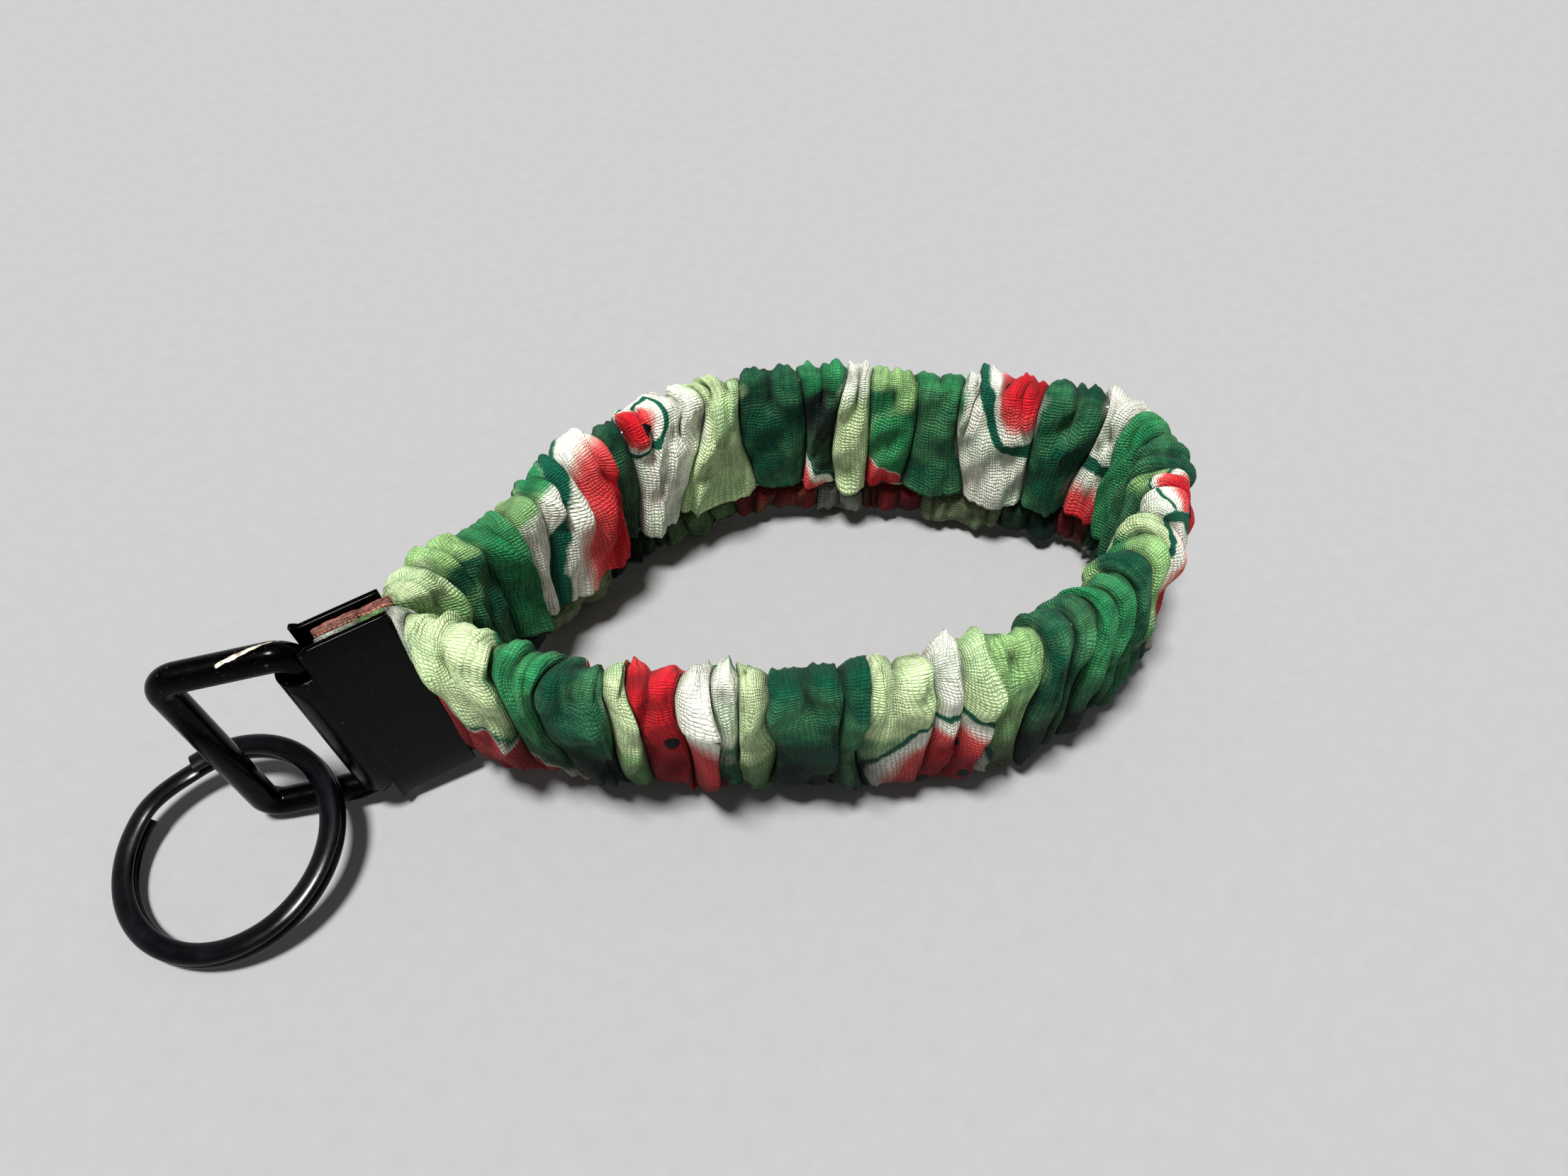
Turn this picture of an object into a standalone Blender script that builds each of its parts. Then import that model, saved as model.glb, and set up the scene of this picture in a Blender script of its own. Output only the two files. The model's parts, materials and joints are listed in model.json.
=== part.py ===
"""Gathered wrist strap on key-fob hardware: a fabric-covered elastic loop, a folded sheet clamp,
a rectangular wire bail and a split ring.  Lengths are metres, +Z is up and the strap stands on
its edge.  The clamp's own axes are u (along the clamp, towards the strap), v (through its
thickness) and w (up its width); the bail's pivot runs along w at u = v = 0."""

from math import asin, cos, pi, radians, sin

import bmesh
import bpy
from mathutils import Euler, Matrix, Vector

MM = 0.001

# Strap
STRAP_HEIGHT = 24.0 * MM
STRAP_THICKNESS = 6.0 * MM
STRAP_FLARE = 1.1                 # thickness gained per length after the clamp
STATION_STEP = 4.0 * MM           # length of strap between two cross-sections
FLARE_STATIONS = [0.0, 1.0 * MM, 2.4 * MM, 4.0 * MM]   # cross-sections just behind the clamp
SPAN_PARTS = 12                   # parts of the curve between two plan points
SIDE_POINTS = 6                   # points along each rounded edge of a cross-section
# Hand-set plan of the strap's centreline, from the clamp along the near side and back, in mm.
# The third number is how far its top leans out of the loop past its bottom.
STRAP_PLAN = [
    (12.0, -4.0, 2.6), (18.5, -9.2, 4.6), (26.5, -14.0, 5.0), (36.0, -19.0, 4.8),
    (47.0, -23.4, 2.8), (58.5, -25.4, 1.6), (69.0, -23.2, 1.0), (77.0, -18.2, 0.6),
    (82.2, -11.6, 0.2), (82.3, -5.0, 0.0), (76.8, 0.4, -0.6), (69.0, 6.6, -1.2),
    (60.5, 12.6, -1.6), (51.0, 17.0, -1.6), (40.5, 18.0, -1.6), (30.0, 15.9, -1.4),
    (20.5, 11.0, -1.0), (12.5, 5.3, -0.4),
]
LEAN_FADE = 16.0 * MM             # travel over which the strap's lean fades to upright

# Strap ends, flattened inside the clamp
TAB_THICKNESS = 0.8 * MM
TAB_OFFSET = 0.55 * MM            # each end's middle plane from the clamp's
TAB_HEIGHT = 23.4 * MM
TAB_FRONT = 2.6 * MM

# Elastic and the sleeve's hollow around it
ELASTIC_WIDTH = 20.0 * MM
ELASTIC_THICKNESS = 1.4 * MM
HOLLOW_WIDTH = 21.2 * MM
HOLLOW_THICKNESS = 2.4 * MM
HOLLOW_START = 2.8 * MM           # from the clamp's rear edge, along the strap
ELASTIC_START = 3.4 * MM

# Lengthwise seam on the inside of the loop
SEAM_HEIGHT = 6.4 * MM
SEAM_GAP = 1.1 * MM
SEAM_THREAD_DIAMETER = 0.5 * MM
SEAM_THREAD_DEPTH = 2.2 * MM      # thread's middle from the strap's centreline
SEAM_THREAD_START = 5.0 * MM
SEAM_START = 3.6 * MM
SEAM_REACH = 3.7 * MM             # slit's depth from the strap's centreline, out past its face

# Clamp
CLAMP_WIDTH = 25.0 * MM
CLAMP_REAR = 8.6 * MM             # rear edge from the pivot
SHEET = 0.6 * MM
JAW_GAP = 2.2 * MM                # between the plates
CLAMP_TILT = radians(6.5)         # top of the clamp forward of its bottom
CLAMP_LIFT = 1.6 * MM             # clamp's lower front corner above the ground
FOLD_CLEARANCE = 0.3 * MM
NOTCH_REACH = 0.6 * MM            # notch for the bail's arm, behind the pivot
NOTCH_HEIGHT = 3.1 * MM
FOLD_PARTS = 16                   # flat facets round the fold

# Bail
BAIL_WIRE = 2.8 * MM
BAIL_LENGTH = 11.7 * MM           # pivot to crossbar
BAIL_WIDTH = 22.6 * MM            # between the arms' middles
BAIL_CORNER = 1.9 * MM
BAIL_CORNER_PARTS = 5
BAIL_SWING = radians(17.0)        # at rest, towards the far side

# Split ring: two turns of flattened wire
RING_RADIUS = 10.3 * MM           # to the middle of the wire
RING_WIRE = 2.1 * MM              # across the ring's plane
RING_TURN = 1.0 * MM              # thickness of one turn
RING_PITCH = 1.1 * MM             # between the turns' middles
RING_OFFSET = Vector((-4.3, -4.4, 0.0)) * MM   # ring's middle from the crossbar
RING_CENTRE_HEIGHT = 3.72 * MM
RING_NORMAL = Vector((-0.21, -0.06, 0.97))
RING_STEP_ANGLE = radians(188.0)  # where the wire's ends lie
RING_RAMP = radians(36.0)
RING_TURN_POINTS = 34

# Stitching that holds the two strap ends together inside the clamp
TACK_PLACE = 5.6 * MM             # from the pivot
TACK_SLOT = 0.9 * MM
TACK_THREAD_DIAMETER = 0.3 * MM
TACK_MARGIN = 3.0 * MM            # from the ends' lower and upper edges
TACK_STITCHES = 7
TACK_POINTS = 8                   # points along one stitch
TACK_DEPTH = 0.75 * MM            # thread's swing to each side of the middle

FOLD_RADIUS = BAIL_WIRE / 2 + FOLD_CLEARANCE + SHEET / 2
PLATE_MIDDLE = (JAW_GAP + SHEET) / 2


def clear_scene():
    """Remove whatever the scene holds."""
    for item in list(bpy.data.objects):
        bpy.data.objects.remove(item, do_unlink=True)
    for group in list(bpy.data.collections):
        bpy.data.collections.remove(group)


def new_collection(name):
    group = bpy.data.collections.new(name)
    bpy.context.scene.collection.children.link(group)
    return group


def material(name, colour, roughness, metallic=0.0):
    """One Principled material."""
    made = bpy.data.materials.new(name)
    made.use_nodes = True
    shader = made.node_tree.nodes["Principled BSDF"]
    shader.inputs["Base Color"].default_value = (*colour, 1.0)
    shader.inputs["Roughness"].default_value = roughness
    shader.inputs["Metallic"].default_value = metallic
    return made


def add_object(name, data, group, look=None, parent=None):
    item = bpy.data.objects.new(name, data)
    group.objects.link(item)
    if look:
        data.materials.append(look)
    if parent:
        item.parent = parent
    return item


def add_empty(name, group, location, rotation, parent=None):
    pivot = add_object(name, None, group, parent=parent)
    pivot.location = location
    pivot.rotation_euler = rotation
    pivot.empty_display_size = 5 * MM
    return pivot


def as_cutter(item):
    item.hide_render = True
    item.display_type = "WIRE"
    return item


def cut(item, cutter):
    step = item.modifiers.new(cutter.name, "BOOLEAN")
    step.operation = "DIFFERENCE"
    step.solver = "EXACT"
    step.object = cutter


def smooth(item, angle=40.0):
    item.data.shade_smooth()
    item.data.set_sharp_from_angle(angle=radians(angle))


def wire_object(name, points, diameter, group, look, parent=None, closed=False, sides=2):
    """A round wire along points, as a curve with a bevel."""
    data = bpy.data.curves.new(name, "CURVE")
    data.dimensions = "3D"
    data.bevel_depth = diameter / 2
    data.bevel_resolution = sides
    data.use_fill_caps = not closed
    line = data.splines.new("POLY")
    line.points.add(len(points) - 1)
    for place, point in zip(line.points, points):
        place.co = (*point, 1.0)
    line.use_cyclic_u = closed
    return add_object(name, data, group, look, parent)


def as_mesh(item, group, scale=(1.0, 1.0, 1.0)):
    """Turn a curve object into a welded mesh of the same name, scaled about its own origin."""
    bpy.context.view_layer.update()
    evaluated = item.evaluated_get(bpy.context.evaluated_depsgraph_get())
    mesh = bpy.data.meshes.new_from_object(evaluated)
    shape = bmesh.new()
    shape.from_mesh(mesh)
    bmesh.ops.remove_doubles(shape, verts=shape.verts, dist=0.001 * MM)
    bmesh.ops.scale(shape, vec=scale, verts=shape.verts)
    shape.to_mesh(mesh)
    shape.free()
    name, parent = item.name, item.parent
    place, turn = item.location.copy(), item.rotation_euler.copy()
    bpy.data.objects.remove(item, do_unlink=True)
    mesh.name = name
    made = add_object(name, mesh, group, None, parent)
    made.location = place
    made.rotation_euler = turn
    smooth(made)
    return made


# ---------------------------------------------------------------- clamp frame

def clamp_matrix():
    """Clamp's axes (u, v, w) to the strap's upright axes."""
    turn = Euler((0.0, -CLAMP_TILT, 0.0)).to_matrix().to_4x4()
    return Matrix.Translation((0.0, 0.0, CLAMP_LIFT)) @ turn


# ---------------------------------------------------------------- strap route

def catmull(p0, p1, p2, p3, t):
    """Point of a Catmull-Rom curve between p1 and p2."""
    a = 2 * p1
    b = p2 - p0
    c = 2 * p0 - 5 * p1 + 4 * p2 - p3
    d = 3 * p1 - p0 - 3 * p2 + p3
    return (a + b * t + c * t * t + d * t * t * t) / 2


def strap_plan():
    """Dense (x, y, lean) plan of the strap's middle line from one end in the clamp to the other."""
    route = [Vector((TAB_FRONT, -TAB_OFFSET, 0.0)), Vector((CLAMP_REAR, -TAB_OFFSET, 0.0))]
    route += [Vector(point) * MM for point in STRAP_PLAN]
    route += [Vector((CLAMP_REAR, TAB_OFFSET, 0.0)), Vector((TAB_FRONT, TAB_OFFSET, 0.0))]
    ends = [2 * route[0] - route[1]] + route + [2 * route[-1] - route[-2]]
    dense = []
    for index in range(1, len(ends) - 2):
        if index in (1, len(ends) - 3):
            dense += [ends[index].lerp(ends[index + 1], part / SPAN_PARTS) for part in range(SPAN_PARTS)]
        else:
            four = ends[index - 1:index + 3]
            dense += [catmull(*four, part / SPAN_PARTS) for part in range(SPAN_PARTS)]
    return dense + [ends[-2]]


def measure(points):
    """Running length at each point."""
    lengths = [0.0]
    for before, after in zip(points, points[1:]):
        lengths.append(lengths[-1] + (after - before).xy.length)
    return lengths


class Strap:
    """Places along the strap; s runs from the near end's front edge to the far end's."""

    def __init__(self):
        self.points = strap_plan()
        self.lengths = measure(self.points)
        self.length = self.lengths[-1]
        self.tab = CLAMP_REAR - TAB_FRONT

    def plan(self, s):
        """Plan point, unit direction and lean at s."""
        index = 0
        while index < len(self.lengths) - 2 and self.lengths[index + 1] < s:
            index += 1
        span = self.lengths[index + 1] - self.lengths[index]
        part = (s - self.lengths[index]) / span
        start, end = self.points[index], self.points[index + 1]
        middle = start.lerp(end, part)
        return middle.xy, (end - start).xy.normalized(), middle.z

    def travel(self, s):
        """Length of strap between s and the nearer rear edge of the clamp, negative inside it."""
        return min(s, self.length - s) - self.tab

    def thickness(self, s):
        return min(STRAP_THICKNESS, TAB_THICKNESS + STRAP_FLARE * max(0.0, self.travel(s)))

    def growth(self, s):
        """0 at the clamp, 1 where the strap has its full thickness."""
        return (self.thickness(s) - TAB_THICKNESS) / (STRAP_THICKNESS - TAB_THICKNESS)

    def height(self, s):
        return TAB_HEIGHT + (STRAP_HEIGHT - TAB_HEIGHT) * self.growth(s)

    def place(self, s, side, up):
        """World point at s, side metres left of the route and up metres above the middle line."""
        middle, ahead, lean = self.plan(s)
        flat = middle + (side - lean * up / STRAP_HEIGHT) * Vector((-ahead.y, ahead.x))
        fade = min(1.0, max(0.0, self.travel(s)) / LEAN_FADE)
        fade = fade * fade * (3 - 2 * fade)
        upright = Vector((flat.x, flat.y, STRAP_HEIGHT / 2 + up))
        leaning = clamp_matrix() @ Vector((flat.x, flat.y, CLAMP_WIDTH / 2 + up))
        return leaning.lerp(upright, fade)


def stations(start, end, step=STATION_STEP):
    """Evenly spaced places from start to end."""
    count = max(1, round((end - start) / step))
    return [start + (end - start) * index / count for index in range(count + 1)]


def rounded_section(width, height, bulge):
    """Outline of a flat band with rounded edges, as (side, up) points."""
    outline = []
    for sign in (1, -1):
        for index in range(SIDE_POINTS + 1):
            angle = pi * index / SIDE_POINTS
            side = sign * width / 2 * cos(angle)
            up = sign * (height / 2 - bulge + bulge * sin(angle))
            outline.append((side, up))
    return outline


def box_section(side_low, side_high, up_low, up_high):
    return [(side_high, up_low), (side_high, up_high), (side_low, up_high), (side_low, up_low)]


def swept_mesh(name, strap, places, section):
    """Loft of one outline per place along the strap, capped at both ends."""
    shape = bmesh.new()
    rings = []
    for s in places:
        rings.append([shape.verts.new(strap.place(s, side, up)) for side, up in section(s)])
    for before, after in zip(rings, rings[1:]):
        for index in range(len(before)):
            following = (index + 1) % len(before)
            shape.faces.new((before[index], before[following], after[following], after[index]))
    shape.faces.new(reversed(rings[0]))
    shape.faces.new(rings[-1])
    bmesh.ops.recalc_face_normals(shape, faces=shape.faces)
    mesh = bpy.data.meshes.new(name)
    shape.to_mesh(mesh)
    shape.free()
    return mesh


def sleeve_places(strap):
    """Stations of the sleeve: both flat ends, the flares, and even steps round the loop."""
    flare = (STRAP_THICKNESS - TAB_THICKNESS) / STRAP_FLARE
    inner = [strap.tab + lead for lead in FLARE_STATIONS]
    near = [0.0] + inner + [strap.tab + flare]
    far = [strap.length - s for s in reversed(near)]
    loop = stations(near[-1], far[0])
    return near + loop[1:-1] + far


def make_sleeve(strap, group, cutters, look, parent):
    """Gathered fabric sleeve: a hollow band, open along its seam, with flattened ends."""
    def outline(s):
        width = strap.thickness(s)
        return rounded_section(width, strap.height(s), width / 2)

    def hollow(_):
        half = HOLLOW_THICKNESS / 2
        return box_section(-half, half, -HOLLOW_WIDTH / 2, HOLLOW_WIDTH / 2)

    def seam(_):
        low = SEAM_HEIGHT - STRAP_HEIGHT / 2
        return box_section(0.0, SEAM_REACH, low - SEAM_GAP / 2, low + SEAM_GAP / 2)

    mesh = swept_mesh("fabric_sleeve", strap, sleeve_places(strap), outline)
    sleeve = add_object("fabric_sleeve", mesh, group, look, parent)
    for name, lead, section in (("sleeve_hollow", HOLLOW_START, hollow), ("sleeve_seam", SEAM_START, seam)):
        start = strap.tab + lead
        places = stations(start, strap.length - start)
        data = swept_mesh(name, strap, places, section)
        cut(sleeve, as_cutter(add_object(name, data, cutters, None, parent)))
    cut(sleeve, tack_slot(cutters, parent))
    return sleeve


def tack_slot(cutters, parent):
    """Slot through both flat ends that the tack stitches pass through."""
    bpy.ops.mesh.primitive_cube_add(size=1.0)
    slot = bpy.context.object
    slot.name = "tack_slot"
    for holder in list(slot.users_collection):
        holder.objects.unlink(slot)
    cutters.objects.link(slot)
    height = TAB_HEIGHT - 2 * TACK_MARGIN + 2 * TACK_SLOT
    slot.data.transform(Matrix.Diagonal((TACK_SLOT, 2 * JAW_GAP, height, 1.0)))
    slot.data.transform(Matrix.Translation((TACK_PLACE, 0.0, CLAMP_WIDTH / 2)))
    slot.data.transform(clamp_matrix())
    slot.parent = parent
    return as_cutter(slot)


def make_tack_thread(group, look, parent):
    """Thread sewn to and fro through the two strap ends."""
    low = (CLAMP_WIDTH - TAB_HEIGHT) / 2 + TACK_MARGIN
    run = CLAMP_WIDTH - 2 * low
    count = TACK_STITCHES * TACK_POINTS
    points = []
    for index in range(count + 1):
        swing = TACK_DEPTH * sin(2 * pi * TACK_STITCHES * index / count)
        points.append((TACK_PLACE, swing, low + run * index / count))
    return wire_object("tack_thread", points, TACK_THREAD_DIAMETER, group, look, parent)


def make_elastic(strap, group, look, parent):
    def outline(_):
        half = ELASTIC_THICKNESS / 2
        return box_section(-half, half, -ELASTIC_WIDTH / 2, ELASTIC_WIDTH / 2)

    start = strap.tab + ELASTIC_START
    mesh = swept_mesh("elastic_band", strap, stations(start, strap.length - start), outline)
    return add_object("elastic_band", mesh, group, look, parent)


def make_seam_thread(strap, group, look, parent):
    up = SEAM_HEIGHT - STRAP_HEIGHT / 2
    start = strap.tab + SEAM_THREAD_START
    places = stations(start, strap.length - start)
    points = [strap.place(s, SEAM_THREAD_DEPTH, up) for s in places]
    return wire_object("seam_thread", points, SEAM_THREAD_DIAMETER, group, look, parent)


# ---------------------------------------------------------------- hardware

def clamp_profile():
    """Middle line of the folded sheet in (u, v): near plate, fold round the pivot, far plate."""
    start = asin(PLATE_MIDDLE / FOLD_RADIUS)
    turn = 2 * (pi - start)
    fold = []
    for index in range(FOLD_PARTS + 1):
        angle = -start - turn * index / FOLD_PARTS
        fold.append((FOLD_RADIUS * cos(angle), FOLD_RADIUS * sin(angle)))
    return [(CLAMP_REAR, -PLATE_MIDDLE)] + fold + [(CLAMP_REAR, PLATE_MIDDLE)]


def make_clamp(group, cutters, look, parent):
    """Sheet folded round the bail, with a notch at each end of the fold for the bail's arms."""
    shape = bmesh.new()
    rows = []
    for w in (0.0, CLAMP_WIDTH):
        rows.append([shape.verts.new((u, v, w)) for u, v in clamp_profile()])
    for index in range(len(rows[0]) - 1):
        lower, upper = rows
        shape.faces.new((lower[index], lower[index + 1], upper[index + 1], upper[index]))
    mesh = bpy.data.meshes.new("clamp")
    shape.to_mesh(mesh)
    shape.free()
    clamp = add_object("clamp", mesh, group, look, parent)
    sheet = clamp.modifiers.new("sheet", "SOLIDIFY")
    sheet.thickness = SHEET
    sheet.offset = 0.0
    sheet.use_even_offset = True
    for name, bottom in (("notch_lower", -NOTCH_HEIGHT), ("notch_upper", CLAMP_WIDTH - NOTCH_HEIGHT)):
        cut(clamp, notch(name, bottom, cutters, parent))
    return clamp


def notch(name, bottom, cutters, parent):
    """Box over one end of the fold, twice the notch's height so that it runs out of the sheet."""
    reach = 2 * FOLD_RADIUS
    block = bmesh.new()
    bmesh.ops.create_cube(block, size=1.0)
    size = Vector((reach + NOTCH_REACH, 4 * FOLD_RADIUS, 2 * NOTCH_HEIGHT))
    middle = Vector((NOTCH_REACH - size.x / 2, 0.0, bottom + NOTCH_HEIGHT))
    bmesh.ops.transform(block, matrix=Matrix.Translation(middle) @ Matrix.Diagonal((*size, 1.0)),
                        verts=block.verts)
    data = bpy.data.meshes.new(name)
    block.to_mesh(data)
    block.free()
    return as_cutter(add_object(name, data, cutters, None, parent))


def make_bail(group, look, pivot):
    """Closed rectangle of wire, its inner bar on the pivot and its crossbar at -u."""
    middle = CLAMP_WIDTH / 2
    corners = [(0.0, -1, 0.0), (0.0, 1, 90.0), (-BAIL_LENGTH, 1, 180.0), (-BAIL_LENGTH, -1, 270.0)]
    points = []
    for u, side, start in corners:
        centre_u = u - BAIL_CORNER if u == 0.0 else u + BAIL_CORNER
        centre_w = middle + side * (BAIL_WIDTH / 2 - BAIL_CORNER)
        for index in range(BAIL_CORNER_PARTS + 1):
            angle = radians(start - 90.0 + 90.0 * index / BAIL_CORNER_PARTS)
            points.append((centre_u + BAIL_CORNER * cos(angle), 0.0,
                           centre_w + BAIL_CORNER * sin(angle)))
    return wire_object("bail", points, BAIL_WIRE, group, look, pivot, closed=True, sides=3)


def ring_height(turned):
    """Height of the flattened wire's middle, one pitch up over the ramp after the first turn."""
    part = (turned - 2 * pi + RING_RAMP / 2) / RING_RAMP
    part = min(1.0, max(0.0, part))
    return RING_PITCH * (part * part * (3 - 2 * part) - 0.5)


def make_split_ring(group, look, pivot, place, normal):
    """Two turns of flattened wire; the ramp between them passes between the wire's two ends."""
    flatten = RING_TURN / RING_WIRE
    start = RING_RAMP / 2
    sweep = 4 * pi - 2 * start
    count = 2 * RING_TURN_POINTS
    points = []
    for index in range(count + 1):
        turned = start + sweep * index / count
        angle = RING_STEP_ANGLE + turned
        points.append((RING_RADIUS * cos(angle), RING_RADIUS * sin(angle),
                       ring_height(turned) / flatten))
    ring = wire_object("split_ring", points, RING_WIRE, group, look, pivot)
    ring = as_mesh(ring, group, scale=(1.0, 1.0, flatten))
    facing = normal.to_track_quat("Z", "Y").to_matrix().to_4x4()
    bpy.context.view_layer.update()
    ring.matrix_world = Matrix.Translation(place) @ facing
    return ring


def stand_on_origin(root, pieces):
    """Move the root so that the pieces' box stands on the origin, centred."""
    bpy.context.view_layer.update()
    graph = bpy.context.evaluated_depsgraph_get()
    corners = []
    for piece in pieces:
        shown = piece.evaluated_get(graph)
        mesh = shown.to_mesh()
        corners += [shown.matrix_world @ vertex.co for vertex in mesh.vertices]
        shown.to_mesh_clear()
    low = [min(corner[axis] for corner in corners) for axis in range(3)]
    high = [max(corner[axis] for corner in corners) for axis in range(3)]
    root.location = (-(low[0] + high[0]) / 2, -(low[1] + high[1]) / 2, -low[2])


def main():
    clear_scene()
    group = new_collection("wristlet_keychain")
    cutters = new_collection("cutters")
    cotton = material("printed_cotton", (0.10, 0.32, 0.14), 0.85)
    thread = material("sewing_thread", (0.75, 0.76, 0.70), 0.7)
    rubber = material("knitted_elastic", (0.80, 0.80, 0.76), 0.8)
    enamel = material("black_enamel", (0.008, 0.008, 0.009), 0.25, 0.2)
    ring_plate = material("black_plated_wire", (0.010, 0.010, 0.012), 0.18, 0.9)

    root = add_empty("assembly", group, (0, 0, 0), (0, 0, 0))
    tilt = add_empty("clamp_frame", group, (0, 0, CLAMP_LIFT), (0, -CLAMP_TILT, 0), root)
    bail_pivot = add_empty("bail_pivot", group, (0, 0, 0), (0, 0, -BAIL_SWING), tilt)
    ring_pivot = add_empty("ring_pivot", group, (-BAIL_LENGTH, 0, 0), (0, 0, 0), bail_pivot)
    bpy.context.view_layer.update()

    strap = Strap()
    sleeve = make_sleeve(strap, group, cutters, cotton, root)
    elastic = make_elastic(strap, group, rubber, root)
    seam = make_seam_thread(strap, group, thread, root)
    tack = make_tack_thread(group, thread, tilt)
    clamp = make_clamp(group, cutters, enamel, tilt)
    bail = make_bail(group, enamel, bail_pivot)
    crossbar = ring_pivot.matrix_world.translation
    centre = Vector((crossbar.x, crossbar.y, RING_CENTRE_HEIGHT)) + RING_OFFSET
    ring = make_split_ring(group, ring_plate, ring_pivot, centre, RING_NORMAL)
    stand_on_origin(root, [sleeve, elastic, seam, tack, clamp, bail, ring])


main()
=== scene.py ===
"""Looks of the gathered wristlet: the pleated cotton sleeve with its print, the enamelled clamp and
bail, the split ring, the stitched seam, and a plain studio.  Lengths are metres in the row frame;
the given lists are in millimetres."""
import json
from math import asin, cos, pi, radians, sin

import bmesh
import bpy
import numpy as np
from mathutils import Euler, Matrix, Vector


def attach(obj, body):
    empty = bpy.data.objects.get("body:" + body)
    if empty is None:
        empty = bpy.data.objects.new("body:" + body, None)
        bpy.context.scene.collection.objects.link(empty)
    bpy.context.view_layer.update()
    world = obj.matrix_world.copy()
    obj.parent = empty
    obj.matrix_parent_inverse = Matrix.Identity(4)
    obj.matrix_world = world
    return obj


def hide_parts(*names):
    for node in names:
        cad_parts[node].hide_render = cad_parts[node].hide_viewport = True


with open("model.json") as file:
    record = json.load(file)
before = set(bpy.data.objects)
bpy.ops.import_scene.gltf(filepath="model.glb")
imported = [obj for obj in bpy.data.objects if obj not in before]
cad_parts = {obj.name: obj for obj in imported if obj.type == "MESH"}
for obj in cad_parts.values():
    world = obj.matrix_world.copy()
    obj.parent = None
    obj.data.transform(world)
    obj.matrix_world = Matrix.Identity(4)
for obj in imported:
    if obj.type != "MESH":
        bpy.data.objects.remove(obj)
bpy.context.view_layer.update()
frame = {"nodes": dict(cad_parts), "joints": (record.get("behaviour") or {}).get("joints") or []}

MM = 0.001

# ---------------------------------------------------------------- dimensions shared with the CAD

STRAP_HEIGHT = 24.0 * MM
STRAP_THICKNESS = 6.0 * MM
STRAP_PLAN = [
    (12.0, -4.0, 2.6), (18.5, -9.2, 4.6), (26.5, -14.0, 5.0), (36.0, -19.0, 4.8),
    (47.0, -23.4, 2.8), (58.5, -25.4, 1.6), (69.0, -23.2, 1.0), (77.0, -18.2, 0.6),
    (82.2, -11.6, 0.2), (82.3, -5.0, 0.0), (76.8, 0.4, -0.6), (69.0, 6.6, -1.2),
    (60.5, 12.6, -1.6), (51.0, 17.0, -1.6), (40.5, 18.0, -1.6), (30.0, 15.9, -1.4),
    (20.5, 11.0, -1.0), (12.5, 5.3, -0.4),
]
SPAN_PARTS = 24
LEAN_FADE = 16.0 * MM
TAB_THICKNESS = 1.2 * MM
TAB_OFFSET = 0.55 * MM
TAB_HEIGHT = 25.0 * MM
TAB_FRONT = 2.2 * MM
SEAM_HEIGHT = 6.4 * MM

CLAMP_WIDTH = 25.0 * MM
CLAMP_REAR = 8.6 * MM
SHEET = 0.6 * MM
JAW_GAP = 2.2 * MM
CLAMP_TILT = radians(6.5)
FOLD_CLEARANCE = 0.3 * MM
NOTCH_REACH = 0.6 * MM
NOTCH_HEIGHT = 3.1 * MM

BAIL_WIRE = 2.8 * MM
BAIL_LENGTH = 11.7 * MM
BAIL_WIDTH = 22.6 * MM
BAIL_CORNER = 1.9 * MM
BAIL_SWING = radians(17.0)

RING_RADIUS = 10.3 * MM
RING_WIRE = 2.1 * MM
RING_TURN = 1.0 * MM
RING_PITCH = 1.1 * MM
RING_OFFSET = Vector((-4.3, -4.4, 0.0)) * MM
RING_CENTRE_HEIGHT = 3.72 * MM
RING_NORMAL = Vector((-0.21, -0.06, 0.97))
RING_STEP_ANGLE = radians(188.0)
RING_RAMP = radians(36.0)

FOLD_RADIUS = BAIL_WIRE / 2 + FOLD_CLEARANCE + SHEET / 2
PLATE_MIDDLE = (JAW_GAP + SHEET) / 2

# ---------------------------------------------------------------- frame

JOINTS = {joint["name"]: Vector(joint["pos_m"]) for joint in frame["joints"]}
TILT = Euler((0.0, -CLAMP_TILT, 0.0)).to_matrix().to_4x4()
HALF_UP = TILT @ Vector((0.0, 0.0, CLAMP_WIDTH / 2))
CLAMP_FRAME = Matrix.Translation(JOINTS["bail_swing"] - HALF_UP) @ TILT
BAIL_FRAME = CLAMP_FRAME @ Matrix.Rotation(-BAIL_SWING, 4, "Z")
CROSSBAR = JOINTS["ring_swing"] - HALF_UP
ROOT = Vector((CLAMP_FRAME.translation.x, CLAMP_FRAME.translation.y, 0.0))


# ---------------------------------------------------------------- helpers

def add_mesh(name, vertices, faces, body, look):
    """A smooth mesh piece that rides on a body."""
    mesh = bpy.data.meshes.new(name)
    mesh.from_pydata(vertices, [], faces)
    mesh.materials.append(look)
    mesh.shade_smooth()
    return add_piece(name, mesh, body)


def add_piece(name, mesh, body):
    """An object for the mesh, on a body."""
    piece = bpy.data.objects.new(name, mesh)
    bpy.context.scene.collection.objects.link(piece)
    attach(piece, body)
    return piece


def apply_modifiers(piece):
    """Replace the piece's mesh by its evaluated one."""
    bpy.context.view_layer.update()
    graph = bpy.context.evaluated_depsgraph_get()
    mesh = bpy.data.meshes.new_from_object(piece.evaluated_get(graph))
    piece.modifiers.clear()
    piece.data = mesh


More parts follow.
